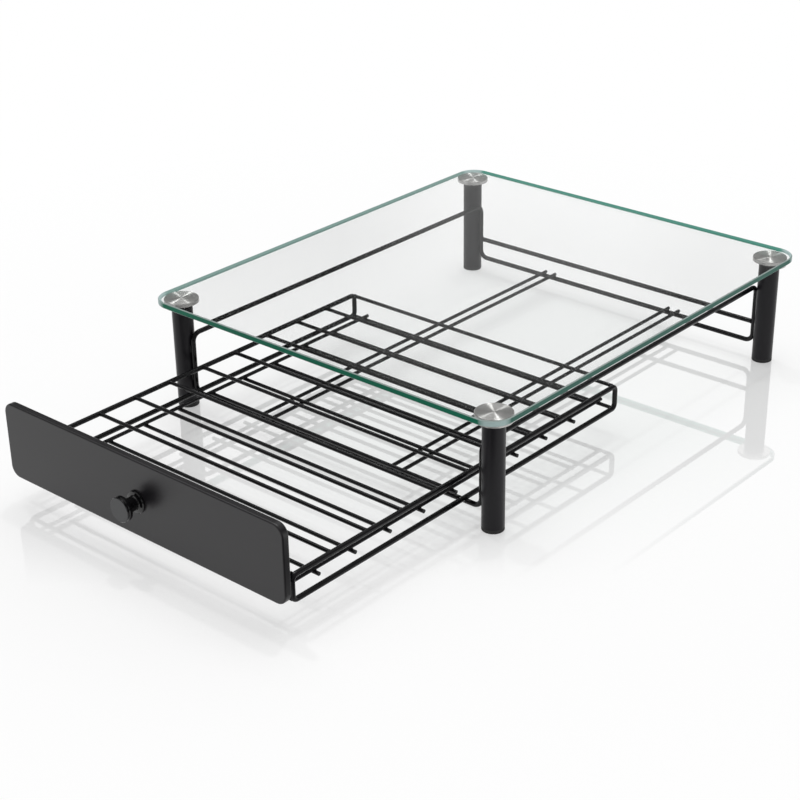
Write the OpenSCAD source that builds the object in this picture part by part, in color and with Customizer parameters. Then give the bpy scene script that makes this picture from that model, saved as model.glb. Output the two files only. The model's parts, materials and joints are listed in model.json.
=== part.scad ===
// Pod drawer: a glass shelf on four tube legs, over a wire basket that slides out to the front.
// X runs across the drawer, its front faces -Y and Z is up. Lengths are in millimetres.
// The origin lies on the floor under the middle of the whole piece, with the drawer pulled out.

/* [Glass shelf] */
// Width of the glass, left to right
glass_w = 351; // [330:1:400]
// Depth of the glass, front to back
glass_d = 407; // [390:1:440]
// Thickness of the glass
glass_t = 5; // [4:0.5:8]
// Radius of the glass's four corners, seen from above
glass_corner_r = 17; // [8:1:30]
// Width of the ground arris along the glass's edges
glass_arris = 0.7; // [0.3:0.1:1.2]
// Height of the glass's upper face over the floor
shelf_h = 95.5; // [92:0.5:120]

/* [Legs] */
// Outer diameter of a leg tube
leg_d = 17; // [15:0.5:20]
// Wall of a leg tube
leg_wall = 1.2; // [0.8:0.1:2]
// Thickness of the plate that closes the top of a leg tube
leg_plate_t = 3; // [2:0.5:4]
// Distance from the glass's side edge to a leg's centre
leg_inset_x = 17; // [15:0.5:25]
// Distance from the glass's front or rear edge to a leg's centre
leg_inset_y = 19; // [15:0.5:25]
// Diameter of the disc that joins a leg to the glass
disc_d = 28; // [22:1:30]
// Thickness of that disc
disc_t = 3; // [2.5:0.5:5]
// Width of the bevel round the disc's upper rim
disc_bevel = 0.4; // [0.2:0.1:0.8]
// Thickness of disc left above the blind hole for the leg's screw
disc_skin = 0.6; // [0.4:0.1:1]

/* [Feet] */
// Height of the foot cap that shows below a leg tube
foot_t = 3; // [2.5:0.5:6]
// Radius of the foot cap's lower edge
foot_edge_r = 0.6; // [0.3:0.1:2.4]
// Length of the plug on the foot cap, inside the tube
foot_plug_l = 8; // [5:0.5:15]
// Gap round the plug inside the tube
foot_fit = 0.1; // [0.05:0.05:0.3]

/* [Wire frame] */
// Diameter of the frame's wire
frame_wire_d = 4; // [3:0.5:5]
// Height of the front and rear cross wires' centre line over the floor
cross_wire_z = 14; // [12:0.5:18]
// Height of the side rails' centre line over the floor
side_rail_z = 65; // [60:0.5:72]
// Radius of the bends in the frame's wire, to its centre line
frame_bend_r = 7; // [5:0.5:9]
// Depth to which crossing or abutting wires are pressed into each other at a weld
weld_set = 0.3; // [0.1:0.05:0.4]
// Drop of the rear stop wire below the basket's top rails
stop_wire_drop = 7.5; // [4:0.5:10]

/* [Guide wires] */
// Diameter of a guide wire
guide_wire_d = 3; // [2.5:0.5:4]
// Distance from the middle to the inner guide wires
guide_inner_x = 62; // [40:0.5:80]
// Distance between the two guide wires of a pair
guide_spacing = 10.5; // [8:0.5:16]
// Length of a guide wire past the cross wires' centre lines
guide_overhang = 2; // [2:0.5:8]

/* [Basket] */
// Distance by which the drawer is pulled out from its closed place
drawer_open = 185.5; // [100:0.5:300]
// Gap between the closed basket and the rear stop wire
stop_gap = 0.3; // [0.3:0.1:2]
// Running gap between the basket's lower wires and the guide wires under them
glide_gap = 0.3; // [0.3:0.1:0.8]
// Gap between the basket's side loops and the frame beside them
side_gap = 6.5; // [3:0.5:10]
// Length of the basket over its side loops
basket_l = 365; // [340:1:380]
// Height of the basket's side loops over their wires
basket_h = 23; // [20:0.5:30]
// Diameter of the side loops' wire
loop_wire_d = 4; // [3:0.5:5]
// Radius of the bends in the side loops, to the centre line
loop_bend_r = 4; // [3.5:0.5:6]
// Diameter of the basket's cross wires and floor rails
basket_wire_d = 3; // [2.5:0.5:3.5]
// Number of rows that the cross wires make
rows = 10; // [8:1:12]
// Distance from a side loop's end to the first and last cross wires, between centre lines
end_wire_inset = 1.5; // [1:0.5:4]
// Distance by which the lower wires between the end ones lie in front of the upper ones
lower_wire_shift = 2.5; // [0:0.5:8]
// Distance from a side loop to the floor rail beside it, between centre lines
floor_rail_inset = 14; // [10:0.5:20]
// Length of a lower wire past the floor rail's centre line
lower_wire_stub = 4.5; // [3:0.5:6]
// Length of a floor rail past the end wires' centre lines
floor_rail_overhang = 1.5; // [1.5:0.1:1.9]

/* [Drawer front] */
// Height of the drawer front
panel_h = 60; // [45:0.5:62]
// Thickness of the drawer front
panel_t = 6; // [5:0.5:8]
// Distance by which the drawer front stands out past each side loop
panel_overhang = 1; // [0:0.1:2]
// Radius of the drawer front's four corners
panel_corner_r = 8.5; // [6:0.5:16]
// Radius of the drawer front's eased edges
panel_edge_r = 1.2; // [0.6:0.1:2]
// Gap between the drawer front and the guide wires under it
panel_gap = 2; // [1:0.5:5]
// Width of the steel tab at each end of the basket's front
tab_w = 37; // [34:1:50]
// Height of that tab
tab_h = 14; // [10:0.5:15]
// Thickness of that tab
tab_t = 1.5; // [1:0.1:3]
// Distance from the tab's outer end to its outer screw
tab_screw_inset = 9; // [8.5:0.5:10]
// Distance between the tab's two screws
tab_screw_spacing = 21; // [14:1:21]

/* [Knob] */
// Drop of the knob's middle below the drawer front's middle
knob_drop = 2; // [0:0.5:4]
// Length of the knob from the drawer front to its face
knob_l = 16; // [14:0.5:24]
// Diameter of the knob's head
knob_head_d = 18.5; // [16:0.5:26]
// Thickness of the knob's head at its rim
knob_head_t = 5; // [4.5:0.5:6]
// Width of the bevels along the rims of the head and the flange
knob_bevel = 0.6; // [0.3:0.1:0.8]
// Distance from the knob's face to the middle of the groove round the head
knob_groove_at = 1.9; // [1.7:0.1:2.4]
// Width of that groove
knob_groove_w = 1.2; // [0.8:0.1:1.6]
// Depth of that groove
knob_groove_depth = 0.6; // [0.3:0.1:0.8]
// Depth by which the head's back slopes down to the neck
knob_back_slope = 1; // [0.5:0.5:2]
// Diameter of the knob's neck
knob_neck_d = 10.5; // [9:0.5:11]
// Diameter of the flange on the drawer front
knob_flange_d = 17; // [16:0.5:22]
// Thickness of the flange's rim
knob_flange_t = 1.8; // [1:0.1:2.5]
// Height of the slope between the flange's rim and the neck's fillet
knob_flange_slope = 0.4; // [0.2:0.1:1]
// Radius of the fillet between the flange and the neck
knob_fillet_r = 1.2; // [0.5:0.1:1.5]

/* [Screws] */
// Gap between a screw's thread and the tapped hole that it is in
thread_gap = 0.05; // [0.02:0.01:0.1]
// Gap round a screw in a clearance hole, on the diameter
clearance = 0.4; // [0.2:0.1:0.8]
// Depth of a blind hole past the tip of its screw
tip_room = 0.3; // [0.1:0.1:0.5]
// Diameter of the screws up through the legs into the discs
leg_screw_d = 5; // [4:0.5:6]
// Diameter of their heads
leg_screw_head_d = 9; // [8:0.5:10]
// Height of their heads
leg_screw_head_t = 3; // [2:0.5:4]
// Diameter of the screws through the tabs into the drawer front
tab_screw_d = 3; // [2.5:0.5:3.5]
// Diameter of their heads
tab_screw_head_d = 6; // [5:0.5:6.5]
// Height of their heads
tab_screw_head_t = 2; // [1.5:0.1:2.4]
// Depth of these screws in the drawer front
tab_screw_grip = 4; // [3:0.1:4.5]
// Diameter of the screw through the drawer front into the knob
knob_screw_d = 4; // [3:0.5:5]
// Diameter of its head
knob_screw_head_d = 8; // [7:0.5:9]
// Height of its head
knob_screw_head_t = 2.6; // [2:0.1:3]
// Depth of this screw in the knob
knob_screw_grip = 8; // [5:0.5:10]
// Share of a screw head's diameter that its cross recess spans
recess_share = 0.6; // [0.5:0.05:0.7]
// Width of the cross recess's arms
recess_w = 0.9; // [0.6:0.1:1.2]
// Depth of the cross recess
recess_depth = 1; // [0.6:0.1:1.2]

/* [Hidden] */
$fn = 64;
// Distance by which a cutting shape runs past the face that it opens
cut_over = 1;

// Heights of the stand
glass_z = shelf_h - glass_t;
leg_top_z = glass_z - disc_t;
leg_l = leg_top_z - foot_t;
leg_bore_d = leg_d - 2 * leg_wall;
cross_top_z = cross_wire_z + frame_wire_d / 2;
guide_z = cross_top_z + guide_wire_d / 2 - weld_set;
guide_top_z = guide_z + guide_wire_d / 2;

// Heights of the drawer
lower_wire_z = guide_top_z + glide_gap + basket_wire_d / 2;
loop_bottom_z = lower_wire_z;
top_rail_z = loop_bottom_z + basket_h - loop_wire_d;
loop_mid_z = (loop_bottom_z + top_rail_z) / 2;
floor_rail_z = lower_wire_z + basket_wire_d - weld_set;
stop_wire_z = top_rail_z - stop_wire_drop;
panel_mid_z = guide_top_z + panel_gap + panel_h / 2;
knob_mid_z = panel_mid_z - knob_drop;

// Places across the piece, from the middle
leg_x = glass_w / 2 - leg_inset_x;
frame_x = leg_x - leg_d / 2 - frame_wire_d / 2;
loop_x = frame_x - frame_wire_d / 2 - side_gap - loop_wire_d / 2;
loop_inner_x = loop_x - loop_wire_d / 2;
loop_outer_x = loop_x + loop_wire_d / 2;
floor_rail_x = loop_x - floor_rail_inset;
panel_w = 2 * (loop_outer_x + panel_overhang);
tab_x = loop_outer_x - tab_w / 2;
tab_screw_x = [
    loop_outer_x - tab_screw_inset - tab_screw_spacing,
    loop_outer_x - tab_screw_inset
];

// Places from front to back, first from the stand's middle and then from the origin
leg_half_y = glass_d / 2 - leg_inset_y;
basket_back_from_stand = leg_half_y - frame_wire_d / 2 - stop_gap - drawer_open;
knob_face_from_stand = basket_back_from_stand - basket_l - tab_t - panel_t - knob_l;
stand_y = -(glass_d / 2 + knob_face_from_stand) / 2;
front_leg_y = stand_y - leg_half_y;
rear_leg_y = stand_y + leg_half_y;
loop_rear_y = stand_y + basket_back_from_stand - loop_wire_d / 2;
loop_front_y = loop_rear_y - basket_l + loop_wire_d;
tab_back_y = loop_front_y - loop_wire_d / 2;
panel_back_y = tab_back_y - tab_t;
panel_front_y = panel_back_y - panel_t;

// Rows of the basket
first_upper_y = loop_front_y + end_wire_inset;
row_pitch = (loop_rear_y - end_wire_inset - first_upper_y) / rows;
function upper_wire_y(i) = first_upper_y + i * row_pitch;
function is_end_wire(i) = i == 0 || i == rows;
function lower_wire_y(i) = upper_wire_y(i) - (is_end_wire(i) ? 0 : lower_wire_shift);

// Colours
glass_colour = [0.62, 0.85, 0.78, 0.45];
steel_colour = [0.72, 0.73, 0.74];
black_colour = [0.10, 0.10, 0.11];
wire_colour = [0.16, 0.16, 0.17];
panel_colour = [0.24, 0.23, 0.25];
rubber_colour = [0.07, 0.07, 0.07];

// Names of the pieces that repeat: sides with their signs, corners with their signs
sides = [["left", -1], ["right", 1]];
corners = [
    ["front_left", -1, -1], ["front_right", 1, -1],
    ["rear_left", -1, 1], ["rear_right", 1, 1]
];
function side_names(base) = [for (s = sides) str(base, "_", s[0])];
function corner_names(base) = [for (c = corners) str(base, "_", c[0])];
function row_name(base, i) = str(base, i < 10 ? "_0" : "_", i);
function row_names(base) = [for (i = [0:rows]) row_name(base, i)];
function corner_at(c) = [c[1] * leg_x, c[2] < 0 ? front_leg_y : rear_leg_y, 0];

// Straight wire between two points
module wire_run(from, to, d) {
    along = to - from;
    translate(from)
        rotate([0, acos(along.z / norm(along)), atan2(along.y, along.x)])
            cylinder(h = norm(along), d = d);
}

// Quarter bend of wire round a centre, from the direction a to the direction b
module wire_bend(centre, a, b, r, d) {
    n = cross(a, b);
    multmatrix([
        [a.x, b.x, n.x, centre.x],
        [a.y, b.y, n.y, centre.y],
        [a.z, b.z, n.z, centre.z],
        [0, 0, 0, 1]
    ])
        rotate_extrude(angle = 90)
            translate([r, 0])
                circle(d = d);
}

// Wire across the drawer, with both ends as far from the middle
module cross_wire(half_l, y, z, d) {
    wire_run([-half_l, y, z], [half_l, y, z], d);
}

// Section of a sheet with rounded edges, centred on X and standing on Y = 0
module rounded_section(w, t, edge) {
    translate([-w / 2 + edge, 0])
        square([w - 2 * edge, t]);
    translate([-w / 2, edge])
        square([w, t - 2 * edge]);
    for (x = [-w / 2 + edge, w / 2 - edge], y = [edge, t - edge])
        translate([x, y])
            circle(r = edge);
}

// Section of a sheet with bevelled edges, centred on X and standing on Y = 0
module bevelled_section(w, t, edge) {
    polygon([
        [-w / 2 + edge, 0], [w / 2 - edge, 0], [w / 2, edge], [w / 2, t - edge],
        [w / 2 - edge, t], [-w / 2 + edge, t], [-w / 2, t - edge], [-w / 2, edge]
    ]);
}

module edge_section(w, t, edge, rounded) {
    if (rounded)
        rounded_section(w, t, edge);
    else
        bevelled_section(w, t, edge);
}

// Flat sheet with round corners in plan and treated edges, standing on Z = 0
module sheet(w, d, t, corner_r, edge, rounded) {
    straight_w = w - 2 * corner_r;
    straight_d = d - 2 * corner_r;
    rotate([90, 0, 90])
        linear_extrude(straight_w, center = true)
            edge_section(d, t, edge, rounded);
    rotate([90, 0, 0])
        linear_extrude(straight_d, center = true)
            edge_section(w, t, edge, rounded);
    for (x = [-1, 1], y = [-1, 1])
        translate([x * straight_w / 2, y * straight_d / 2])
            rotate_extrude()
                intersection() {
                    edge_section(2 * corner_r, t, edge, rounded);
                    square([corner_r, t]);
                }
}

// Screw along Z with its head below Z = 0 and a cross recess in the head
module screw(d, head_d, head_t, l) {
    recess_l = recess_share * head_d;
    difference() {
        union() {
            translate([0, 0, -head_t])
                cylinder(h = head_t, d = head_d);
            cylinder(h = l, d = d);
        }
        for (arm = [[recess_l, recess_w], [recess_w, recess_l]])
            translate([-arm[0] / 2, -arm[1] / 2, -head_t - cut_over])
                cube([arm[0], arm[1], cut_over + recess_depth]);
    }
}

module glass_top() {
    color(glass_colour)
        translate([0, stand_y, glass_z])
            sheet(glass_w, glass_d, glass_t, glass_corner_r, glass_arris, false);
}

// Bonded under the glass, with a blind tapped hole for the leg's screw
module disc(c) {
    color(steel_colour)
        translate(corner_at(c) + [0, 0, leg_top_z])
            difference() {
                rotate_extrude()
                    polygon([
                        [0, 0], [disc_d / 2, 0], [disc_d / 2, disc_t - disc_bevel],
                        [disc_d / 2 - disc_bevel, disc_t], [0, disc_t]
                    ]);
                translate([0, 0, -cut_over])
                    cylinder(h = cut_over + disc_t - disc_skin, d = leg_screw_d + 2 * thread_gap);
            }
}

// Tube that is closed at the top by a plate with the screw's hole
module leg(c) {
    color(black_colour)
        translate(corner_at(c) + [0, 0, foot_t])
            difference() {
                cylinder(h = leg_l, d = leg_d);
                translate([0, 0, -cut_over])
                    cylinder(h = cut_over + leg_l - leg_plate_t, d = leg_bore_d);
                cylinder(h = leg_l + cut_over, d = leg_screw_d + clearance);
            }
}

module leg_screws() {
    grip = disc_t - disc_skin - tip_room;
    color(steel_colour)
        for (c = corners)
            translate(corner_at(c) + [0, 0, leg_top_z - leg_plate_t])
                screw(leg_screw_d, leg_screw_head_d, leg_screw_head_t, leg_plate_t + grip);
}

// Half outline of a foot: a cap with a rounded lower edge, and a plug that closes the leg's tube
module foot_outline() {
    cap_r = leg_d / 2;
    intersection() {
        square([cap_r, foot_t]);
        union() {
            square([cap_r - foot_edge_r, foot_t]);
            translate([0, foot_edge_r])
                square([cap_r, foot_t]);
            translate([cap_r - foot_edge_r, foot_edge_r])
                circle(r = foot_edge_r);
        }
    }
    square([leg_bore_d / 2 - foot_fit, foot_t + foot_plug_l]);
}

module foot(c) {
    color(rubber_colour)
        translate(corner_at(c))
            rotate_extrude()
                foot_outline();
}

// One bent wire: rail, two uprights on the legs' inner sides, and the bends into the cross wires
module side_frame(s) {
    side = s[1];
    x = side * frame_x;
    bend_x = x - side * frame_bend_r;
    upright_bottom_z = cross_wire_z + frame_bend_r;
    upright_top_z = side_rail_z - frame_bend_r;
    rail_front_y = front_leg_y + frame_bend_r;
    rail_rear_y = rear_leg_y - frame_bend_r;
    color(wire_colour)
        difference() {
            union() {
                wire_run([x, rail_front_y, side_rail_z], [x, rail_rear_y, side_rail_z], frame_wire_d);
                wire_bend([x, rail_front_y, upright_top_z], [0, -1, 0], [0, 0, 1],
                          frame_bend_r, frame_wire_d);
                wire_bend([x, rail_rear_y, upright_top_z], [0, 1, 0], [0, 0, 1],
                          frame_bend_r, frame_wire_d);
                for (y = [front_leg_y, rear_leg_y]) {
                    wire_run([x, y, upright_bottom_z], [x, y, upright_top_z], frame_wire_d);
                    wire_bend([bend_x, y, upright_bottom_z], [side, 0, 0], [0, 0, -1],
                              frame_bend_r, frame_wire_d);
                }
            }
            rear_stop_wire();
        }
}

// Straight wire low between two legs, with seats for the guide wires on top of it
module frame_cross_wire(y) {
    color(wire_colour)
        difference() {
            cross_wire(frame_x - frame_bend_r, y, cross_wire_z, frame_wire_d);
            for (s = sides) {
                guide_wire_inner(s);
                guide_wire_outer(s);
            }
        }
}

module front_cross_wire() {
    frame_cross_wire(front_leg_y);
}

module rear_cross_wire() {
    frame_cross_wire(rear_leg_y);
}

// The basket's rear end stops against this wire
module rear_stop_wire() {
    color(wire_colour)
        cross_wire(frame_x - frame_wire_d / 2 + weld_set, rear_leg_y, stop_wire_z, frame_wire_d);
}

module guide_wire(x) {
    color(wire_colour)
        wire_run([x, front_leg_y - guide_overhang, guide_z],
                 [x, rear_leg_y + guide_overhang, guide_z], guide_wire_d);
}

module guide_wire_inner(s) {
    guide_wire(s[1] * guide_inner_x);
}

module guide_wire_outer(s) {
    guide_wire(s[1] * (guide_inner_x + guide_spacing));
}

module drawer_front() {
    color(panel_colour)
        translate([0, panel_back_y, panel_mid_z])
            rotate([90, 0, 0])
                difference() {
                    sheet(panel_w, panel_h, panel_t, panel_corner_r, panel_edge_r, true);
                    translate([0, -knob_drop, -cut_over])
                        cylinder(h = panel_t + 2 * cut_over, d = knob_screw_d + clearance);
                    for (side = [-1, 1], x = tab_screw_x)
                        translate([side * x, loop_mid_z - panel_mid_z, -cut_over])
                            cylinder(h = cut_over + tab_screw_grip + tip_room,
                                     d = tab_screw_d + 2 * thread_gap);
                }
}

// Half outline of the knob: radius along X, distance from the drawer front along Y
module knob_outline() {
    flange_r = knob_flange_d / 2;
    neck_r = knob_neck_d / 2;
    head_r = knob_head_d / 2;
    fillet_y = knob_flange_t + knob_flange_slope;
    head_back_y = knob_l - knob_head_t;
    groove_y = knob_l - knob_groove_at;
    polygon([
        [0, 0], [flange_r, 0], [flange_r, knob_flange_t - knob_bevel],
        [flange_r - knob_bevel, knob_flange_t],
        [neck_r + knob_fillet_r, fillet_y], [0, fillet_y]
    ]);
    difference() {
        translate([0, fillet_y])
            square([neck_r + knob_fillet_r, knob_fillet_r]);
        translate([neck_r + knob_fillet_r, fillet_y + knob_fillet_r])
            circle(r = knob_fillet_r);
    }
    square([neck_r, head_back_y]);
    polygon([
        [0, head_back_y - knob_back_slope], [neck_r, head_back_y - knob_back_slope],
        [head_r - knob_bevel, head_back_y], [head_r, head_back_y + knob_bevel],
        [head_r, groove_y - knob_groove_w / 2], [head_r - knob_groove_depth, groove_y],
        [head_r, groove_y + knob_groove_w / 2], [head_r, knob_l - knob_bevel],
        [head_r - knob_bevel, knob_l], [0, knob_l]
    ]);
}

module knob() {
    color(black_colour)
        translate([0, panel_front_y, knob_mid_z])
            rotate([90, 0, 0])
                difference() {
                    rotate_extrude()
                        knob_outline();
                    translate([0, 0, -cut_over])
                        cylinder(h = cut_over + knob_screw_grip + tip_room,
                                 d = knob_screw_d + 2 * thread_gap);
                }
}

module knob_screw() {
    color(steel_colour)
        translate([0, panel_back_y, knob_mid_z])
            rotate([90, 0, 0])
                screw(knob_screw_d, knob_screw_head_d, knob_screw_head_t, panel_t + knob_screw_grip);
}

// Steel tab on the front of a side loop, flat on the drawer front's back
module panel_tab(s) {
    color(wire_colour)
        translate([s[1] * tab_x, tab_back_y - tab_t, loop_mid_z])
            difference() {
                translate([-tab_w / 2, 0, -tab_h / 2])
                    cube([tab_w, tab_t, tab_h]);
                for (x = tab_screw_x)
                    translate([s[1] * (x - tab_x), tab_t + cut_over, 0])
                        rotate([90, 0, 0])
                            cylinder(h = tab_t + 2 * cut_over, d = tab_screw_d + clearance);
            }
}

module panel_screws() {
    color(steel_colour)
        for (side = [-1, 1], x = tab_screw_x)
            translate([side * x, tab_back_y, loop_mid_z])
                rotate([90, 0, 0])
                    screw(tab_screw_d, tab_screw_head_d, tab_screw_head_t, tab_t + tab_screw_grip);
}

// Closed loop of wire along one side of the basket, with seats for the wires that end on it
module side_loop(s) {
    x = s[1] * loop_x;
    straight_y = [loop_front_y + loop_bend_r, loop_rear_y - loop_bend_r];
    straight_z = [loop_bottom_z + loop_bend_r, top_rail_z - loop_bend_r];
    color(wire_colour)
        difference() {
            union() {
                for (z = [loop_bottom_z, top_rail_z])
                    wire_run([x, straight_y[0], z], [x, straight_y[1], z], loop_wire_d);
                for (y = [loop_front_y, loop_rear_y])
                    wire_run([x, y, straight_z[0]], [x, y, straight_z[1]], loop_wire_d);
                for (i = [0, 1], j = [0, 1])
                    wire_bend([x, straight_y[i], straight_z[j]], [0, 2 * i - 1, 0],
                              [0, 0, 2 * j - 1], loop_bend_r, loop_wire_d);
            }
            for (i = [0:rows])
                upper_wire(i);
            lower_wire(0);
            lower_wire(rows);
        }
}

// Rail along the basket's floor, pressed onto the lower wires
module floor_rail(s) {
    x = s[1] * floor_rail_x;
    color(wire_colour)
        difference() {
            wire_run([x, loop_front_y - floor_rail_overhang, floor_rail_z],
                     [x, loop_rear_y + floor_rail_overhang, floor_rail_z], basket_wire_d);
            for (i = [0:rows])
                lower_wire(i);
        }
}

module upper_wire(i) {
    color(wire_colour)
        cross_wire(loop_inner_x + weld_set, upper_wire_y(i), top_rail_z, basket_wire_d);
}

// The end wires reach the side loops, and the others end just past the floor rails
module lower_wire(i) {
    half_l = is_end_wire(i) ? loop_inner_x + weld_set : floor_rail_x + lower_wire_stub;
    color(wire_colour)
        cross_wire(half_l, lower_wire_y(i), lower_wire_z, basket_wire_d);
}

glass_top();
for (c = corners) {
    disc(c);
    leg(c);
    foot(c);
}
leg_screws();
for (s = sides) {
    side_frame(s);
    guide_wire_inner(s);
    guide_wire_outer(s);
    panel_tab(s);
    side_loop(s);
    floor_rail(s);
}
front_cross_wire();
rear_cross_wire();
rear_stop_wire();
drawer_front();
knob();
knob_screw();
panel_screws();
for (i = [0:rows]) {
    upper_wire(i);
    lower_wire(i);
}
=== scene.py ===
"""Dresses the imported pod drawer.

It gives every node its finish, adds the weld beads and the discs' turned faces, and sets up a
plain studio with the photograph's camera.
"""

from __future__ import annotations

import json
import logging
import math
from abc import ABC, abstractmethod
from dataclasses import dataclass
from enum import Enum
from typing import Any, Mapping, Sequence, Union

import bmesh
import bpy
from mathutils import Matrix, Vector


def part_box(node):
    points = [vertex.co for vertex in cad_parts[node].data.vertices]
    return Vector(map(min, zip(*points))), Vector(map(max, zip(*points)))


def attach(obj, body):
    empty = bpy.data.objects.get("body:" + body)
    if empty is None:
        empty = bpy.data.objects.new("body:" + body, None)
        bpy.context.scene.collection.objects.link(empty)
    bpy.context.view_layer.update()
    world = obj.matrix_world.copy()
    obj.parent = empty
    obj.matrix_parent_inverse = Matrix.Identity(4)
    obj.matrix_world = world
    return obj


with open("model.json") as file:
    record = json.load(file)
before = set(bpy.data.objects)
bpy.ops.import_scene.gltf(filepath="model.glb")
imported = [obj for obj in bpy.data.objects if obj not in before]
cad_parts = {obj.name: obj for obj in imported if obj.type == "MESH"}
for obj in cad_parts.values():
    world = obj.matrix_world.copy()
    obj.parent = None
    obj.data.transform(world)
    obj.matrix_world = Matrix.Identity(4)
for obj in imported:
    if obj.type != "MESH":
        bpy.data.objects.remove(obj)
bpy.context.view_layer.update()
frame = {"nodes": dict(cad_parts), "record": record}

log = logging.getLogger("pod_drawer")

Colour = tuple[float, float, float]
Point = tuple[float, float, float]
Span = tuple[float, float]
MM = 0.001
# keeps a quotient of two lengths from being 0 by 0
TINY = 1e-6
WHITE: Colour = (1.0, 1.0, 1.0)


class Body(str, Enum):
    """The part's two bodies, by the names that the record gives them."""

    STAND = "stand"
    DRAWER = "drawer"


class Slot(str, Enum):
    """The record's material slots."""

    GLASS = "glass"
    DISC = "disc"
    LEG = "leg"
    FOOT = "foot"
    WIRE = "wire"
    PANEL = "panel"
    KNOB = "knob"
    SCREWS = "screws"


class Value:
    """One number of a finish that varies over the surface, with plain arithmetic.

    An expression on values adds the Math nodes that work it out.
    """

    def __init__(self, recipe: "Recipe", socket: bpy.types.NodeSocket) -> None:
        """Wraps a socket.

        Args:
            recipe: The recipe whose nodes the sums are added to.
            socket: The output socket that carries the number.
        """
        self.recipe = recipe
        self.socket = socket

    def _sum(self, operation: str, first: "Number", second: "Number") -> "Value":
        """Adds one Math node.

        Args:
            operation: The Math node's operation.
            first: Its first number.
            second: Its second number.

        Returns:
            The result as a value.
        """
        return self.recipe.value(
            "ShaderNodeMath", {"operation": operation}, {0: first, 1: second}
        )

    def __add__(self, other: "Number") -> "Value":
        """Sum of two values."""
        return self._sum("ADD", self, other)

    __radd__ = __add__

    def __sub__(self, other: "Number") -> "Value":
        """Difference of two values."""
        return self._sum("SUBTRACT", self, other)

    def __rsub__(self, other: "Number") -> "Value":
        """A number less this value."""
        return self._sum("SUBTRACT", other, self)

    def __mul__(self, other: "Number") -> "Value":
        """Product of two values."""
        return self._sum("MULTIPLY", self, other)

    __rmul__ = __mul__

    def __truediv__(self, other: "Number") -> "Value":
        """Quotient of two values."""
        return self._sum("DIVIDE", self, other)

    def __pow__(self, other: "Number") -> "Value":
        """This value to a power."""
        return self._sum("POWER", self, other)

    def __abs__(self) -> "Value":
        """This value without its sign."""
        return self._sum("ABSOLUTE", self, 0.0)

    def larger(self, other: "Number") -> "Value":
        """The larger of two values."""
        return self._sum("MAXIMUM", self, other)

    def over(self, other: "Number") -> "Value":
        """1 where this value is over another, and 0 elsewhere."""
        return self._sum("GREATER_THAN", self, other)

    def sine(self) -> "Value":
        """Sine of this value in radians."""
        return self._sum("SINE", self, 0.0)

    def across(self, span: Span) -> "Value":
        """This share of the way from a span's first number to its second."""
        return span[0] + (span[1] - span[0]) * self


Number = Union[float, Value]
Tint = Union[Colour, bpy.types.NodeSocket]
Feed = Union[float, Sequence[float], Value, bpy.types.NodeSocket]


@dataclass(frozen=True)
class Grain:
    """Fine relief on a finish, by its waves per metre and its depth in metres."""

    scale: float
    depth: float


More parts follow.
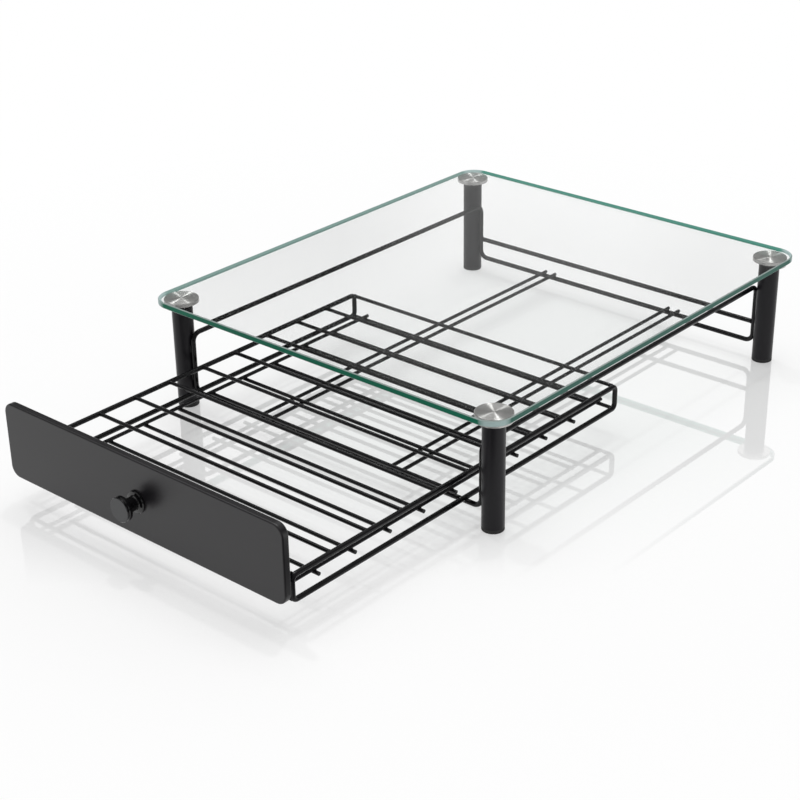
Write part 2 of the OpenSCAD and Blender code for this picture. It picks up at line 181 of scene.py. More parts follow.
class Recipe:
    """The nodes of one material or world, made through a single method."""

    def __init__(self, tree: bpy.types.ShaderNodeTree) -> None:
        """Empties the tree and keeps it.

        Args:
            tree: The node tree to fill.
        """
        self.tree = tree
        tree.nodes.clear()

    def node(
        self,
        kind: str,
        settings: Mapping[str, Any] | None = None,
        sockets: Mapping[str | int, Feed] | None = None,
    ) -> bpy.types.Node:
        """Adds a node, its settings first and then its sockets.

        Args:
            kind: The node's type.
            settings: Its properties.
            sockets: A value or a link for each named or numbered input.

        Returns:
            The new node.
        """
        made = self.tree.nodes.new(kind)
        for name, setting in (settings or {}).items():
            setattr(made, name, setting)
        for name, feed in (sockets or {}).items():
            self._feed(made.inputs[name], feed)
        return made

    def _feed(self, socket: bpy.types.NodeSocket, feed: Feed) -> None:
        """Links a socket or sets its value.

        Args:
            socket: The input socket.
            feed: A value, a plain number, a colour or another socket.
        """
        if isinstance(feed, Value):
            self.tree.links.new(feed.socket, socket)
        elif isinstance(feed, bpy.types.NodeSocket):
            self.tree.links.new(feed, socket)
        elif isinstance(feed, (int, float)):
            socket.default_value = feed
        else:
            channels = len(socket.default_value)
            socket.default_value = (*feed, 1.0)[:channels]

    def value(
        self,
        kind: str,
        settings: Mapping[str, Any] | None = None,
        sockets: Mapping[str | int, Feed] | None = None,
        output: str | int = 0,
    ) -> Value:
        """Adds a node and gives one of its outputs as a value.

        Args:
            kind: The node's type.
            settings: Its properties.
            sockets: A value or a link for each input.
            output: The output's name or number.

        Returns:
            The output, ready for sums.
        """
        return Value(self, self.node(kind, settings, sockets).outputs[output])

    def place(self) -> tuple[bpy.types.NodeSocket, Value, Value, Value]:
        """The point on the surface in the part's own frame or, for a world, the direction.

        Returns:
            The vector's socket, then its X, Y and Z as values.
        """
        point = self.node("ShaderNodeTexCoord").outputs["Object"]
        split = self.node("ShaderNodeSeparateXYZ", None, {"Vector": point})
        x, y, z = (Value(self, split.outputs[i]) for i in range(3))
        return point, x, y, z

    def noise(
        self, point: bpy.types.NodeSocket, scale: float, detail: float = 2.0
    ) -> Value:
        """Even noise from 0 to 1.

        Args:
            point: The vector that it is read at.
            scale: Waves per metre.
            detail: Octaves.

        Returns:
            The noise as a value.
        """
        return self.value(
            "ShaderNodeTexNoise",
            None,
            {"Vector": point, "Scale": scale, "Detail": detail},
            "Fac",
        )

    def share(self, value: Value, none: float, full: float) -> Value:
        """How far a value lies between two others, from 0 to 1.

        Args:
            value: The value.
            none: Where the share is 0.
            full: Where the share is 1.

        Returns:
            The share as a value.
        """
        return self.value(
            "ShaderNodeMapRange",
            {"clamp": True},
            {"Value": value, "From Min": none, "From Max": full},
        )

    def rays(self, *names: str) -> list[Value]:
        """Light Path outputs.

        Args:
            *names: The outputs' names.

        Returns:
            A value for each name.
        """
        path = self.node("ShaderNodeLightPath")
        return [Value(self, path.outputs[name]) for name in names]

    def blend(
        self, share: Number, first: bpy.types.NodeSocket, second: bpy.types.NodeSocket
    ) -> bpy.types.NodeSocket:
        """A shader between two others.

        Args:
            share: 0 for the first shader and 1 for the second.
            first: The first shader.
            second: The second shader.

        Returns:
            The mixed shader's socket.
        """
        mixed = self.node("ShaderNodeMixShader", None, {0: share, 1: first, 2: second})
        return mixed.outputs[0]

    def tone(self, share: Value, low: Tint, high: Tint) -> bpy.types.NodeSocket:
        """A colour between two others.

        Args:
            share: 0 for the first colour and 1 for the second.
            low: The first colour.
            high: The second colour.

        Returns:
            The mixed colour's socket.
        """
        # inputs 6 and 7 and output 2 are the Mix node's colours
        mixed = self.node(
            "ShaderNodeMix", {"data_type": "RGBA"}, {0: share, 6: low, 7: high}
        )
        return mixed.outputs[2]

    def bump(self, height: Value, depth: float) -> bpy.types.NodeSocket:
        """A bumped normal.

        Args:
            height: The relief from 0 to 1.
            depth: Its depth in metres.

        Returns:
            The normal's socket.
        """
        bumped = self.node(
            "ShaderNodeBump", None, {"Strength": 1.0, "Distance": depth, "Height": height}
        )
        return bumped.outputs["Normal"]

    def relief(
        self, point: bpy.types.NodeSocket, grain: Grain
    ) -> tuple[Value, bpy.types.NodeSocket]:
        """Noise that also bumps the normal.

        Args:
            point: The vector that it is read at.
            grain: Its scale and depth.

        Returns:
            The noise from 0 to 1, and the normal's socket.
        """
        height = self.noise(point, grain.scale)
        return height, self.bump(height, grain.depth)

    def shader(self, sockets: Mapping[str | int, Feed]) -> bpy.types.NodeSocket:
        """A Principled shader.

        Args:
            sockets: A value or a link for each input.

        Returns:
            The shader's socket.
        """
        return self.node("ShaderNodeBsdfPrincipled", None, sockets).outputs["BSDF"]

    def surface(self, shader: bpy.types.NodeSocket, **others: bpy.types.NodeSocket) -> None:
        """Ends the material.

        Args:
            shader: The surface's shader.
            **others: More of the output's inputs, such as Volume.
        """
        self.node("ShaderNodeOutputMaterial", None, {"Surface": shader, **others})


def new_recipe(name: str) -> tuple[bpy.types.Material, Recipe]:
    """Starts a material.

    Args:
        name: The material's name.

    Returns:
        The material and its empty recipe.
    """
    material = bpy.data.materials.new(name)
    material.use_nodes = True
    return material, Recipe(material.node_tree)


class Finish(ABC):
    """A finish, which makes one material.

    A roughness that is a span is what the finish has where the value that drives it is 0, and
    where that is 1.
    """

    name: str

    @abstractmethod
    def _fill(self, recipe: Recipe) -> None:
        """Adds the finish's nodes.

        Args:
            recipe: The material's empty recipe.
        """

    def make(self) -> bpy.types.Material:
        """Makes the material.

        Returns:
            The finished material.
        """
        material, recipe = new_recipe(self.name)
        self._fill(recipe)
        return material


@dataclass(frozen=True)
class PlateShape:
    """The glass plate's outline, which its edges are found by.

    The ground edge begins at the inner side of the arris, slack further out.
    """

    middle: Vector
    half: Vector
    corner_r: float = 17 * MM
    arris: float = 0.7 * MM
    slack: float = 0.02 * MM

    @property
    def flat_r(self) -> float:
        """How far the flat faces reach out past the corners' centres."""
        return self.corner_r - self.arris + self.slack


@dataclass(frozen=True)
class ClearGlass(Finish):
    """Tempered float glass: clear through its faces and green in its ground edges.

    The edges' green has light and shade painted into it: each side has its own tone, the corners
    a pale painted highlight, and the top arris a pale painted reflection along the front and
    right and a dark painted line along the rear.
    The rear and left edges are painted wider than the others, by far_width of the faces.
    """

    plate: PlateShape
    name: str = "clear_glass"
    index: float = 1.5
    absorbed_per_metre: Colour = (1.6, 0.6, 0.9)
    shade_tint: Colour = (0.93, 0.94, 0.935)
    roughness: Span = (0.01, 0.03)
    haze_scale: float = 40.0
    haze_power: float = 4.0
    # painted light and shade: each side of the ground edge has its own tone, and the corners are
    # painted pale as a highlight
    front: Colour = (0.005, 0.150, 0.085)
    rear: Colour = (0.070, 0.280, 0.215)
    right: Colour = (0.036, 0.130, 0.100)
    left: Colour = (0.210, 0.330, 0.300)
    corner: Colour = (0.385, 0.500, 0.490)
    # how round the outline is where the corners' pale painted highlight begins, and where it is
    # full
    rounding: Span = (0.02, 0.20)
    # painted light on the top arris: a pale painted reflection along the front and right, and a
    # dark painted line along the rear
    arris_painted_glint: Colour = (0.330, 0.400, 0.380)
    arris_painted_dark: Colour = (0.008, 0.085, 0.065)
    far_width: float = 4.2 * MM
    grind: Grain = Grain(700.0, 0.01 * MM)
    ground_roughness: Span = (0.30, 0.50)
    ground_specular: float = 0.15

    def _edge(self, recipe: Recipe) -> tuple[Value, bpy.types.NodeSocket]:
        """The ground edge, with painted light and shade in its colour: where it is, and its
        shader.

        Args:
            recipe: The glass's recipe.

        Returns:
            1 on the edge and 0 on the faces, and the edge's shader.
        """
        plate = self.plate
        point, x, y, z = recipe.place()
        past_x = (abs(x) - (plate.half.x - plate.corner_r)).larger(0.0)
        past_y = (abs(y - plate.middle.y) - (plate.half.y - plate.corner_r)).larger(0.0)
        radius = (past_x * past_x + past_y * past_y) ** 0.5
        sideways = past_x / (past_x + past_y + TINY)
        rightward = x.over(0.0)
        rearward = y.over(plate.middle.y)
        on_rear = rearward * (1 - sideways)
        on_left = (1 - rightward) * sideways
        # the rear and left edges are painted wider, over the faces next to them
        on_edge = (radius + self.far_width * (on_rear + on_left)).over(plate.flat_r)
        # painted light and shade: the edge's green takes a tone by side, and a pale painted
        # highlight round the corners
        end = recipe.tone(rearward, self.front, self.rear)
        side = recipe.tone(rightward, self.left, self.right)
        straight = recipe.tone(sideways, end, side)
        # 0 on the straight edges and 0.25 halfway round a corner
        round_corner = sideways * (1 - sideways)
        edge_green_and_painted_light = recipe.tone(recipe.share(round_corner, *self.rounding), straight, self.corner)
        near_face = abs(z - plate.middle.z).over(plate.half.z - plate.arris)
        on_arris = near_face * radius.over(plate.flat_r) * (1 - on_left)
        # the arris is painted pale as a reflection, and dark along the rear
        arris = recipe.tone(on_rear, self.arris_painted_glint, self.arris_painted_dark)
        grind, normal = recipe.relief(point, self.grind)
        shader = recipe.shader(
            {
                "Base Color": recipe.tone(on_arris, edge_green_and_painted_light, arris),
                "Roughness": grind.across(self.ground_roughness),
                "Specular IOR Level": self.ground_specular,
                "Normal": normal,
            }
        )
        return on_edge, shader

    def _fill(self, recipe: Recipe) -> None:
        """Adds the clear plate, its ground edge and its green body.

        Args:
            recipe: The material's empty recipe.
        """
        density = max(self.absorbed_per_metre)
        kept = tuple(1 - share / density for share in self.absorbed_per_metre)
        point = recipe.place()[0]
        haze = recipe.noise(point, self.haze_scale) ** self.haze_power
        glass = recipe.shader(
            {
                "Base Color": WHITE,
                "Roughness": haze.across(self.roughness),
                "IOR": self.index,
                "Transmission Weight": 1.0,
            }
        )
        on_edge, edge = self._edge(recipe)
        shadow, diffuse, mirrored = recipe.rays(
            "Is Shadow Ray", "Is Diffuse Ray", "Is Singular Ray"
        )
        for_light = shadow.larger(diffuse).larger(mirrored * (1 - on_edge))
        clear = recipe.node("ShaderNodeBsdfTransparent", None, {"Color": self.shade_tint})
        body = recipe.node(
            "ShaderNodeVolumeAbsorption", None, {"Color": kept, "Density": density}
        )
        recipe.surface(
            recipe.blend(for_light, recipe.blend(on_edge, glass, edge), clear.outputs[0]),
            Volume=body.outputs[0],
        )


@dataclass(frozen=True)
class PowderCoat(Finish):
    """Black powder coat, with the slight orange peel that it cures with.

    Clouds of dust take the colour as far as dust_share of the way to its dusty tone, and vary
    the roughness by the factors of uneven.
    """

    name: str
    colour: Colour
    roughness: float
    peel: Grain
    specular: float = 0.25
    index: float = 1.5
    cloud_scale: float = 35.0
    dust_gain: float = 1.6
    dust: float = 0.001
    dust_share: float = 0.6
    uneven: Span = (0.85, 1.15)

    def _fill(self, recipe: Recipe) -> None:
        """Adds the coat.

        Args:
            recipe: The material's empty recipe.
        """
        point = recipe.place()[0]
        _, normal = recipe.relief(point, self.peel)
        cloud = recipe.noise(point, self.cloud_scale)
        dusty = tuple(channel * self.dust_gain + self.dust for channel in self.colour)
        recipe.surface(
            recipe.shader(
                {
                    "Base Color": recipe.tone(cloud * self.dust_share, self.colour, dusty),
                    "Roughness": self.roughness * cloud.across(self.uneven),
                    "IOR": self.index,
                    "Specular IOR Level": self.specular,
                    "Normal": normal,
                }
            )
        )


@dataclass(frozen=True)
class TurnedSteel(Finish):
    """Stainless steel faced on a lathe, with fine rings round each disc's centre.

    The centres lie centre_x and centre_y out from the middle of the glass, on both sides.
    """

    centre_x: float
    centre_y: float
    middle_y: float
    name: str = "turned_steel"
    dark: Colour = (0.45, 0.44, 0.43)
    light: Colour = (0.62, 0.61, 0.60)
    uneven_scale: float = 900.0
    cloud_scale: float = 120.0
    cloud_share: float = 0.3
    metallic: float = 0.7
    roughness: Span = (0.19, 0.23)
    anisotropy: float = 1.0
    turn: float = 0.25
    ring_pitch: float = 0.35 * MM
    ring_share: float = 0.4
    depth: float = 0.002 * MM

    def _fill(self, recipe: Recipe) -> None:
        """Adds the steel and its rings.

        Args:
            recipe: The material's empty recipe.
        """
        point, x, y, _ = recipe.place()
        from_x = abs(x) - self.centre_x
        from_y = abs(y - self.middle_y) - self.centre_y
        radius = (from_x * from_x + from_y * from_y) ** 0.5
        rings = (radius * (2 * math.pi / self.ring_pitch)).sine() * 0.5 + 0.5
        at_radius = recipe.node("ShaderNodeCombineXYZ", None, {0: radius, 1: radius})
        uneven = recipe.noise(at_radius.outputs[0], self.uneven_scale)
        cloud = recipe.noise(point, self.cloud_scale)
        shade = uneven * (1 - self.cloud_share) + cloud * self.cloud_share
        height = rings * self.ring_share + uneven * (1 - self.ring_share)
        recipe.surface(
            recipe.shader(
                {
                    "Base Color": recipe.tone(shade, self.dark, self.light),
                    "Metallic": self.metallic,
                    "Roughness": uneven.across(self.roughness),
                    "Anisotropic": self.anisotropy,
                    "Anisotropic Rotation": self.turn,
                    "Normal": recipe.bump(height, self.depth),
                }
            )
        )


@dataclass(frozen=True)
class ZincPlate(Finish):
    """Bright zinc plating on screws, a little blue, with dull patches."""

    name: str = "zinc_plate"
    blue: Colour = (0.48, 0.50, 0.54)
    dull: Colour = (0.66, 0.66, 0.66)
    patches: Grain = Grain(600.0, 0.01 * MM)
    roughness: Span = (0.22, 0.47)

    def _fill(self, recipe: Recipe) -> None:
        """Adds the plating.

        Args:
            recipe: The material's empty recipe.
        """
        patch, normal = recipe.relief(recipe.place()[0], self.patches)
        recipe.surface(
            recipe.shader(
                {
                    "Base Color": recipe.tone(patch, self.blue, self.dull),
                    "Metallic": 1.0,
                    "Roughness": patch.across(self.roughness),
                    "Normal": normal,
                }
            )
        )


@dataclass(frozen=True)
class FootRubber(Finish):
    """Matt black rubber with a fine moulded grain and pale scuffs."""

    name: str = "foot_rubber"
    colour: Colour = (0.012, 0.012, 0.012)
    scuffed: Colour = (0.05, 0.05, 0.05)
    scuff_scale: float = 260.0
    scuff_detail: float = 4.0
    scuff_power: float = 3.0
    moulded: Grain = Grain(2500.0, 0.02 * MM)
    roughness: Span = (0.62, 0.82)

    def _fill(self, recipe: Recipe) -> None:
        """Adds the rubber.

        Args:
            recipe: The material's empty recipe.
        """
        point = recipe.place()[0]
        grain, normal = recipe.relief(point, self.moulded)
        scuff = recipe.noise(point, self.scuff_scale, self.scuff_detail) ** self.scuff_power
        recipe.surface(
            recipe.shader(
                {
                    "Base Color": recipe.tone(scuff, self.colour, self.scuffed),
                    "Roughness": grain.across(self.roughness),
                    "Normal": normal,
                }
            )
        )


@dataclass(frozen=True)
class PaintedBoard(Finish):
    """Fibreboard sprayed in satin black, with clouds where the paint is worn."""

    name: str = "painted_board"
    colour: Colour = (0.004, 0.0035, 0.0045)
    worn: Colour = (0.011, 0.0095, 0.012)
    cloud_scale: float = 14.0
    cloud_detail: float = 3.0
    spray: Grain = Grain(1800.0, 0.004 * MM)
    roughness: Span = (0.26, 0.36)
    index: float = 1.5

    def _fill(self, recipe: Recipe) -> None:
        """Adds the paint.

        Args:
            recipe: The material's empty recipe.
        """
        point = recipe.place()[0]
        _, normal = recipe.relief(point, self.spray)
        cloud = recipe.noise(point, self.cloud_scale, self.cloud_detail)
        recipe.surface(
            recipe.shader(
                {
                    "Base Color": recipe.tone(cloud, self.colour, self.worn),
                    "Roughness": cloud.across(self.roughness),
                    "IOR": self.index,
                    "Normal": normal,
                }
            )
        )


@dataclass(frozen=True)
class KnobLacquer(Finish):
    """Gloss black lacquer on the turned knob, with a satin face.

    The face begins at face_y, and its satin fades out over face_depth behind it.
    """

    face_y: float
    name: str = "knob_lacquer"
    face_depth: float = 0.35 * MM
    gloss_black: Colour = (0.004, 0.004, 0.0045)
    satin_black: Colour = (0.034, 0.035, 0.037)
    roughness: Span = (0.10, 0.38)
    uneven: float = 0.04
    sprayed: Grain = Grain(1500.0, 0.002 * MM)
    index: float = 1.5

    def _fill(self, recipe: Recipe) -> None:
        """Adds the lacquer.

        Args:
            recipe: The material's empty recipe.
        """
        point, _, y, _ = recipe.place()
        none_y = self.face_y + self.face_depth
        full_y = self.face_y + self.face_depth / 2
        satin = recipe.share(y, none_y, full_y)
        grain, normal = recipe.relief(point, self.sprayed)
        recipe.surface(
            recipe.shader(
                {
                    "Base Color": recipe.tone(satin, self.gloss_black, self.satin_black),
                    "Roughness": satin.across(self.roughness) + self.uneven * grain,
                    "IOR": self.index,
                    "Normal": normal,
                }
            )
        )


@dataclass(frozen=True)
class Bead:
    """One weld bead: where it lies, and how far it reaches along X, Y and Z."""

    centre: Point
    spread: Point


@dataclass(frozen=True)
class BeadWork:
    """Weld beads under the powder coat, set by geometry nodes on the points where wires meet.

    Each bead is smaller than its spread by a random share of up to unevenness.
    """

    name: str
    beads: Sequence[Bead]
    material: bpy.types.Material
    unevenness: float = 0.12
    seed: int = 11
    subdivisions: int = 2

    def _points(self) -> bpy.types.Object:
        """Makes a mesh with one point for each bead, which carries its spread.

        Returns:
            The object that the nodes work on.
        """
        mesh = bpy.data.meshes.new(self.name + "_points")
        mesh.from_pydata([bead.centre for bead in self.beads], [], [])
        layer = mesh.attributes.new("spread", "FLOAT_VECTOR", "POINT")
        layer.data.foreach_set("vector", [reach for bead in self.beads for reach in bead.spread])
        points = bpy.data.objects.new(self.name, mesh)
        bpy.context.scene.collection.objects.link(points)
        return points

    def _tree(self) -> bpy.types.GeometryNodeTree:
        """Builds the nodes that set a bead on each point.

        Returns:
            The node tree, with inputs for the unevenness, its seed and the finish.
        """
        tree = bpy.data.node_groups.new(self.name + "_nodes", "GeometryNodeTree")
        for name, way, kind in (
            ("Geometry", "INPUT", "NodeSocketGeometry"),
            ("Unevenness", "INPUT", "NodeSocketFloat"),
            ("Seed", "INPUT", "NodeSocketInt"),
            ("Finish", "INPUT", "NodeSocketMaterial"),
            ("Geometry", "OUTPUT", "NodeSocketGeometry"),
        ):
            tree.interface.new_socket(name, in_out=way, socket_type=kind)
        nodes, links = tree.nodes, tree.links
        given = nodes.new("NodeGroupInput")
        bead = nodes.new("GeometryNodeMeshIcoSphere")
        bead.inputs["Radius"].default_value = 1.0
        bead.inputs["Subdivisions"].default_value = self.subdivisions
        spread = nodes.new("GeometryNodeInputNamedAttribute")
        spread.data_type = "FLOAT_VECTOR"
        spread.inputs["Name"].default_value = "spread"
        least = nodes.new("ShaderNodeMath")
        least.operation = "SUBTRACT"
        least.inputs[0].default_value = 1.0
        links.new(given.outputs["Unevenness"], least.inputs[1])
        # inputs 2 and 3 and output 1 are the Random Value node's plain numbers
        share = nodes.new("FunctionNodeRandomValue")
        share.data_type = "FLOAT"
        links.new(least.outputs[0], share.inputs[2])
        share.inputs[3].default_value = 1.0
        links.new(given.outputs["Seed"], share.inputs["Seed"])
        size = nodes.new("ShaderNodeVectorMath")
        size.operation = "SCALE"
        links.new(spread.outputs[0], size.inputs[0])
        links.new(share.outputs[1], size.inputs["Scale"])
        placed = nodes.new("GeometryNodeInstanceOnPoints")
        links.new(given.outputs["Geometry"], placed.inputs["Points"])
        links.new(bead.outputs["Mesh"], placed.inputs["Instance"])
        links.new(size.outputs[0], placed.inputs["Scale"])
        real = nodes.new("GeometryNodeRealizeInstances")
        links.new(placed.outputs[0], real.inputs[0])
        smooth = nodes.new("GeometryNodeSetShadeSmooth")
        links.new(real.outputs[0], smooth.inputs["Geometry"])
        coat = nodes.new("GeometryNodeSetMaterial")
        links.new(smooth.outputs[0], coat.inputs["Geometry"])
        links.new(given.outputs["Finish"], coat.inputs["Material"])
        result = nodes.new("NodeGroupOutput")
        links.new(coat.outputs[0], result.inputs[0])
        return tree

    def make(self, body: Body) -> bpy.types.Object:
        """Makes the beads a plain mesh that rides on a body.

        Args:
            body: The body that the beads are on.

        Returns:
            The finished piece.
        """
        piece = self._points()
        tree = self._tree()
        modifier = piece.modifiers.new("beads", "NODES")
        modifier.node_group = tree
        sockets = {
            item.name: item.identifier
            for item in tree.interface.items_tree
            if item.in_out == "INPUT"
        }
        modifier[sockets["Unevenness"]] = self.unevenness
        modifier[sockets["Seed"]] = self.seed
        modifier[sockets["Finish"]] = self.material
        bpy.context.view_layer.update()
        graph = bpy.context.evaluated_depsgraph_get()
        mesh = bpy.data.meshes.new_from_object(piece.evaluated_get(graph), depsgraph=graph)
        piece.modifiers.remove(modifier)
        points = piece.data
        piece.data = mesh
        bpy.data.meshes.remove(points)
        mesh.name = self.name
        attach(piece, body.value)
        log.info("%s: %d beads, %d faces", self.name, len(self.beads), len(mesh.polygons))
        return piece


@dataclass(frozen=True)
class TurnedFace:
    """A disc's turned face, a hair above the disc, which the glass shows from above.

    The disc and the glass touch, and a ray would find one or the other there by chance.
    """

    place: str
    material: bpy.types.Material
    proud: float = 0.02 * MM
    margin: float = 0.3 * MM
    segments: int = 96

    def make(self) -> bpy.types.Object:
        """Makes the thin cap on the disc.

        Returns:
            The finished piece.
        """
        low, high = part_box("disc_" + self.place)
        radius = (high.x - low.x) / 2 - self.margin
        shape = bmesh.new()
        bmesh.ops.create_cone(
            shape,
            cap_ends=True,
            segments=self.segments,
            radius1=radius,
            radius2=radius - self.proud,
            depth=2 * self.proud,
            matrix=Matrix.Translation(((low.x + high.x) / 2, (low.y + high.y) / 2, high.z)),
        )
        mesh = bpy.data.meshes.new("turned_face_" + self.place)
        shape.to_mesh(mesh)
        shape.free()
        mesh.materials.append(self.material)
        piece = bpy.data.objects.new(mesh.name, mesh)
        bpy.context.scene.collection.objects.link(piece)
        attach(piece, Body.STAND.value)
        log.info("%s: %d faces", mesh.name, len(mesh.polygons))
        return piece


class Workshop:
    """The finishes of the whole piece, made once, and the way they are put on."""

    def __init__(self, finishes: Mapping[Slot, Finish]) -> None:
        """Makes every finish.

        Args:
            finishes: The finish for each material slot.
        """
        self.materials = {slot: finish.make() for slot, finish in finishes.items()}

    def dress(self, slots: Mapping[str, Slot]) -> None:
        """Puts finishes on CAD nodes.

        Args:
            slots: The slot for each node.
        """
        for name, slot in slots.items():
            for place in frame["nodes"][name].material_slots:
                place.material = self.materials[slot]
            log.info("%s: %s", name, self.materials[slot].name)


def node_slots(body: Body) -> dict[str, Slot]:
    """The material slot of each CAD node on a body.

    Args:
        body: The body.

    Returns:
        Slots by node name, in the record's order.
    """
    members = frame["record"]["behaviour"]["bodies"][body.value]
    slots = {part["node"]: part["material_slot"] for part in frame["record"]["subparts"]}
    return {name: Slot(slots[name]) for name in members}


def middle(node: str) -> Vector:
    """Centre of a CAD node's box.

    Args:
        node: The node's name.

    Returns:
        The centre, in metres.
    """
    low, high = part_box(node)
    return (low + high) / 2


def collars(wire: str, spread: Point, inset: float) -> list[Bead]:
    """Beads round both ends of a cross wire.

    Args:
        wire: The wire's node.
        spread: How far a bead reaches along X, Y and Z.
        inset: How far in from the wire's ends the beads' centres lie.

    Returns:
        The left bead and the right one.
    """
    low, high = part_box(wire)
    centre = middle(wire)
    return [Bead((x, centre.y, centre.z), spread) for x in (low.x + inset, high.x - inset)]


@dataclass
class Stand:
    """The glass shelf on its legs, with the wire frame that carries the drawer.

    A weld bead's size is how far it reaches along X, Y and Z.
    """

    workshop: Workshop
    wire_d: float = 4 * MM
    seat: float = 0.3 * MM
    guide_bead: Point = (1.9 * MM, 1.9 * MM, 0.75 * MM)
    seam: Point = (0.75 * MM, 0.8 * MM, 4.2 * MM)
    seam_heights: Span = (28 * MM, 52 * MM)
    seam_aside: float = 1.55 * MM
    seam_out: float = 0.35 * MM
    collar: Point = (0.9 * MM, 2.6 * MM, 2.6 * MM)
    collar_inset: float = 0.55 * MM

    def _guide_beads(self) -> list[Bead]:
        """Beads where the guide wires lie on the cross wires.

        Returns:
            Eight beads.
        """
        beads = []
        for cross in ("front_cross_wire", "rear_cross_wire"):
            across = middle(cross)
            for guide in ("inner_left", "inner_right", "outer_left", "outer_right"):
                x = middle("guide_wire_" + guide).x
                z = across.z + self.wire_d / 2 - self.seat / 2
                beads.append(Bead((x, across.y, z), self.guide_bead))
        return beads

    def _leg_beads(self) -> list[Bead]:
        """Short seams along the uprights, in the creases between wire and leg.

        Returns:
            Two beads at two heights on each of the four legs.
        """
        beads = []
        for side, sign in (("left", -1), ("right", 1)):
            for end in ("front", "rear"):
                low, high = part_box(f"leg_{end}_{side}")
                leg = (low + high) / 2
                touch_x = leg.x - sign * ((high.x - low.x) / 2 + self.seam_out)
                for z in self.seam_heights:
                    for y in (leg.y - self.seam_aside, leg.y + self.seam_aside):
                        beads.append(Bead((touch_x, y, z), self.seam))
        return beads

    def make(self) -> None:
        """Dresses the stand's nodes, welds its wires and faces its discs."""
        self.workshop.dress(node_slots(Body.STAND))
        beads = self._guide_beads() + self._leg_beads()
        beads += collars("rear_stop_wire", self.collar, self.collar_inset)
        BeadWork("stand_weld_beads", beads, self.workshop.materials[Slot.WIRE]).make(Body.STAND)
        for place in ("front_left", "front_right", "rear_left", "rear_right"):
            TurnedFace(place, self.workshop.materials[Slot.DISC]).make()


@dataclass
class Drawer:
    """The wire basket with its front and knob.

    A weld bead's size is how far it reaches along X, Y and Z.
    """

    workshop: Workshop
    rows: int = 10
    wire_d: float = 3 * MM
    seat: float = 0.3 * MM
    floor_bead: Point = (1.75 * MM, 1.75 * MM, 0.7 * MM)
    collar: Point = (0.8 * MM, 1.95 * MM, 1.95 * MM)
    collar_inset: float = 0.5 * MM

    def _floor_beads(self) -> list[Bead]:
        """Beads where the floor rails lie on the lower wires.

        Returns:
            Two beads for each lower wire.
        """
        beads = []
        for row in range(self.rows + 1):
            wire = middle(f"lower_wire_{row:02d}")
            for side in ("left", "right"):
                x = middle("floor_rail_" + side).x
                z = wire.z + self.wire_d / 2 - self.seat / 2
                beads.append(Bead((x, wire.y, z), self.floor_bead))
        return beads

    def _end_beads(self) -> list[Bead]:
        """Collars where wires end on the side loops.

        Returns:
            One bead for each wire end.
        """
        names = [f"upper_wire_{row:02d}" for row in range(self.rows + 1)]
        names += ["lower_wire_00", f"lower_wire_{self.rows:02d}"]
        beads = []
        for name in names:
            beads += collars(name, self.collar, self.collar_inset)
        return beads

    def make(self) -> None:
        """Dresses the drawer's nodes and welds its wires."""
        self.workshop.dress(node_slots(Body.DRAWER))
        beads = self._floor_beads() + self._end_beads()
        BeadWork("drawer_weld_beads", beads, self.workshop.materials[Slot.WIRE]).make(Body.DRAWER)


@dataclass(frozen=True)
class Softbox:
    """A far, soft lamp, by where its light comes from.

    It lies from_right to the right of where the camera looks, and height above the horizon.
    Both are angles in degrees, as the width of its light is.
    """

    name: str
    from_right: float
    height: float
    strength: float
    width: float

    def make(self, view_yaw: float) -> None:
        """Hangs the lamp.

        Args:
            view_yaw: The camera's turn about Z in radians, which from_right counts from.
        """
        lamp = bpy.data.lights.new(self.name, "SUN")
        lamp.energy = self.strength
        lamp.angle = math.radians(self.width)
        holder = bpy.data.objects.new(self.name, lamp)
        bpy.context.scene.collection.objects.link(holder)
        turn = view_yaw - math.radians(self.from_right)
        up = math.radians(self.height)
        towards = Vector(
            (-math.sin(turn) * math.cos(up), math.cos(turn) * math.cos(up), math.sin(up))
        )
        holder.matrix_world = towards.to_track_quat("Z", "Y").to_matrix().to_4x4()
        log.info("%s: from %s", self.name, [round(c, 2) for c in towards])


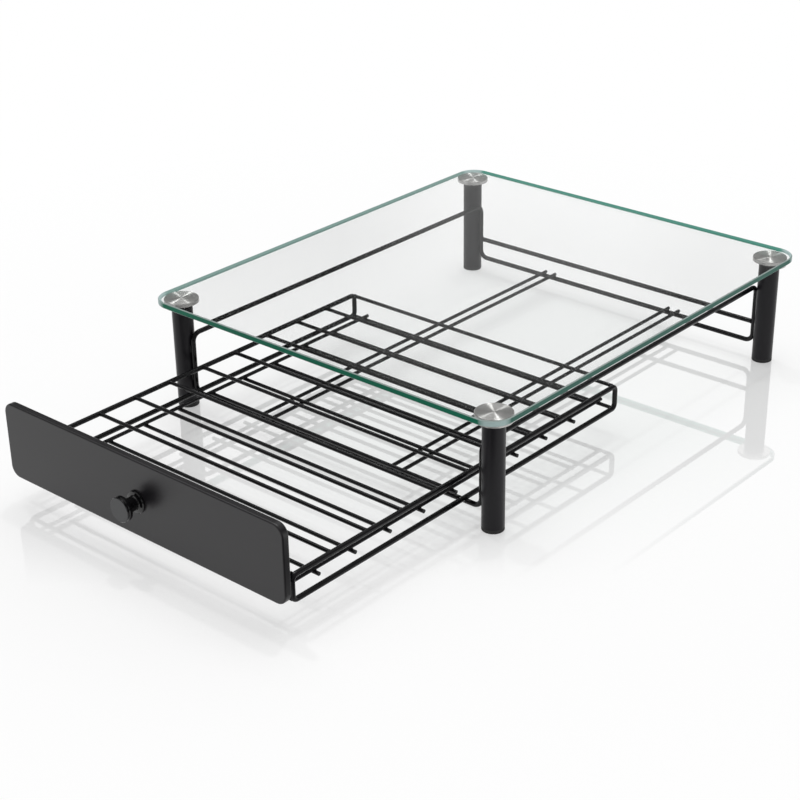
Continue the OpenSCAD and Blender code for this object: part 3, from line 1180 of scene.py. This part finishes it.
@dataclass(frozen=True)
class Studio:
    """A plain white floor, a pale surround, soft lamps and the camera.

    Angles are in degrees. A span says where something is not there yet, and where it is in
    full: on the floor by X, Y or the distance from the middle, in metres, and in the surround
    by the X or Z of a direction.
    """

    camera_place: Point = (831.3 * MM, -949.85 * MM, 643.0 * MM)
    yaw: float = 41.457
    pitch: float = 26.338
    roll: float = -0.942
    lens: float = 79.58
    sensor: float = 36.0
    clip_start: float = 0.01
    clip_end: float = 200.0
    floor_half: float = 40.0
    floor_white: Colour = (0.97, 0.97, 0.97)
    floor_glow: float = 0.45
    glowing: Span = (0.40, 0.75)
    polish: float = 0.25
    polished: Span = (-0.24, -0.05)
    beyond_glass: float = 0.32
    flag: float = 0.90
    flagged_x: Span = (0.13, 0.19)
    flagged_y: Span = (-0.17, -0.20)
    surround: float = 0.55
    band: float = 0.50
    stripe_height: float = 0.42
    banded: Span = (0.08, 0.17)
    screen: float = 0.30
    screen_faint: float = 0.3
    screened_x: Span = (-0.640, -0.595)
    screened_z: Span = (0.46, 0.37)
    screen_bright_x: Span = (-0.475, -0.520)
    softboxes: tuple[Softbox, ...] = (
        Softbox("back_key", from_right=17.0, height=70.8, strength=0.28, width=3.0),
        Softbox("left_key", from_right=-31.0, height=64.6, strength=0.28, width=3.0),
        Softbox("overhead_softbox", from_right=-30.0, height=76.0, strength=0.95, width=60.0),
    )

    def _floor(self) -> None:
        """Lays a white sheet where the feet stand, polished behind the piece.

        A black flag beside the drawer front, seen only in gloss, darkens its right edge.
        """
        material, recipe = new_recipe("white_floor")
        _, x, y, _ = recipe.place()
        camera, glossy, through = recipe.rays(
            "Is Camera Ray", "Is Glossy Ray", "Is Transmission Ray"
        )
        turn = math.radians(self.yaw)
        behind = y * math.cos(turn) - x * math.sin(turn)
        polish = recipe.share(behind, *self.polished) * self.polish
        far = recipe.share((x * x + y * y) ** 0.5, *self.glowing)
        beside = recipe.share(x, *self.flagged_x) * recipe.share(y, *self.flagged_y)
        flagged = beside * glossy * (1 - through)
        glow_share = far.across((self.floor_glow, 1.0)).larger(flagged)
        seen = camera.larger(glossy).larger(through)
        lit = recipe.node("ShaderNodeBsdfDiffuse", None, {"Color": self.floor_white})
        glow = recipe.node(
            "ShaderNodeEmission",
            None,
            {
                "Color": WHITE,
                "Strength": 1 + self.beyond_glass * through - self.flag * flagged,
            },
        )
        mirror = recipe.node(
            "ShaderNodeBsdfGlossy", None, {"Color": WHITE, "Roughness": 0.0}
        )
        white = recipe.blend(seen * glow_share, lit.outputs[0], glow.outputs[0])
        recipe.surface(recipe.blend(camera * polish, white, mirror.outputs[0]))
        mesh = bpy.data.meshes.new("studio_floor")
        half = self.floor_half
        corners = [(-half, -half, 0), (half, -half, 0), (half, half, 0), (-half, half, 0)]
        mesh.from_pydata(corners, [], [(0, 1, 2, 3)])
        mesh.materials.append(material)
        floor = bpy.data.objects.new("studio_floor", mesh)
        bpy.context.scene.collection.objects.link(floor)
        log.info("studio_floor: laid")

    def _surround(self) -> None:
        """Lights the surround: plain as a light, white where it is seen.

        A gloss surface shows it as a band that is dark in a stripe at mid height, with a
        dim screen low in that stripe, and the polished floor shows it white.
        """
        world = bpy.data.worlds.new("surround")
        world.use_nodes = True
        bpy.context.scene.world = world
        recipe = Recipe(world.node_tree)
        _, x, _, z = recipe.place()
        camera, glossy, through, sharp, bounces = recipe.rays(
            "Is Camera Ray",
            "Is Glossy Ray",
            "Is Transmission Ray",
            "Is Singular Ray",
            "Glossy Depth",
        )
        gloss = glossy * bounces.over(0.5) * (1 - sharp * (1 - through))
        seen = camera.larger(glossy)
        band = self.band * recipe.share(abs(z - self.stripe_height), *self.banded)
        screen = recipe.share(x, *self.screened_x) * recipe.share(z, *self.screened_z)
        bright = recipe.share(x, *self.screen_bright_x)
        screen = self.screen * screen * bright.across((self.screen_faint, 1.0))
        white = 1 + self.beyond_glass * through
        seen_strength = white + gloss * (band.larger(screen) - white)
        strength = self.surround + seen * (seen_strength - self.surround)
        sky = recipe.node(
            "ShaderNodeBackground", None, {"Color": WHITE, "Strength": strength}
        )
        recipe.node("ShaderNodeOutputWorld", None, {"Surface": sky.outputs[0]})

    def _camera(self) -> None:
        """Sets the camera where the photograph was taken from."""
        lens = bpy.data.cameras.new("camera")
        lens.lens = self.lens
        lens.sensor_width = self.sensor
        lens.clip_start = self.clip_start
        lens.clip_end = self.clip_end
        camera = bpy.data.objects.new("camera", lens)
        bpy.context.scene.collection.objects.link(camera)
        camera.matrix_world = (
            Matrix.Translation(self.camera_place)
            @ Matrix.Rotation(math.radians(self.yaw), 4, "Z")
            @ Matrix.Rotation(math.radians(90 - self.pitch), 4, "X")
            @ Matrix.Rotation(math.radians(self.roll), 4, "Z")
        )
        bpy.context.scene.camera = camera

    def make(self) -> None:
        """Sets up the floor, the surround, the lamps and the camera."""
        bpy.context.scene.view_settings.view_transform = "Standard"
        self._floor()
        self._surround()
        for softbox in self.softboxes:
            softbox.make(math.radians(self.yaw))
        self._camera()


def main() -> None:
    """Builds the finishes, the stand, the drawer and the studio in order."""
    logging.basicConfig(level=logging.INFO, format="%(name)s: %(message)s")
    glass_low, glass_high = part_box("glass_top")
    glass = (glass_low + glass_high) / 2
    disc = middle("disc_rear_right")
    knob_low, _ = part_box("knob")
    workshop = Workshop(
        {
            Slot.GLASS: ClearGlass(PlateShape(glass, (glass_high - glass_low) / 2)),
            Slot.DISC: TurnedSteel(
                centre_x=disc.x, centre_y=disc.y - glass.y, middle_y=glass.y
            ),
            Slot.LEG: PowderCoat(
                name="satin_powder_coat",
                colour=(0.0055, 0.0048, 0.0068),
                roughness=0.34,
                peel=Grain(900.0, 0.012 * MM),
            ),
            Slot.FOOT: FootRubber(),
            Slot.WIRE: PowderCoat(
                name="gloss_powder_coat",
                colour=(0.003, 0.003, 0.0035),
                roughness=0.20,
                peel=Grain(700.0, 0.010 * MM),
            ),
            Slot.PANEL: PaintedBoard(),
            Slot.KNOB: KnobLacquer(face_y=knob_low.y),
            Slot.SCREWS: ZincPlate(),
        }
    )
    Stand(workshop).make()
    Drawer(workshop).make()
    Studio().make()


if __name__ == "__main__":
    main()
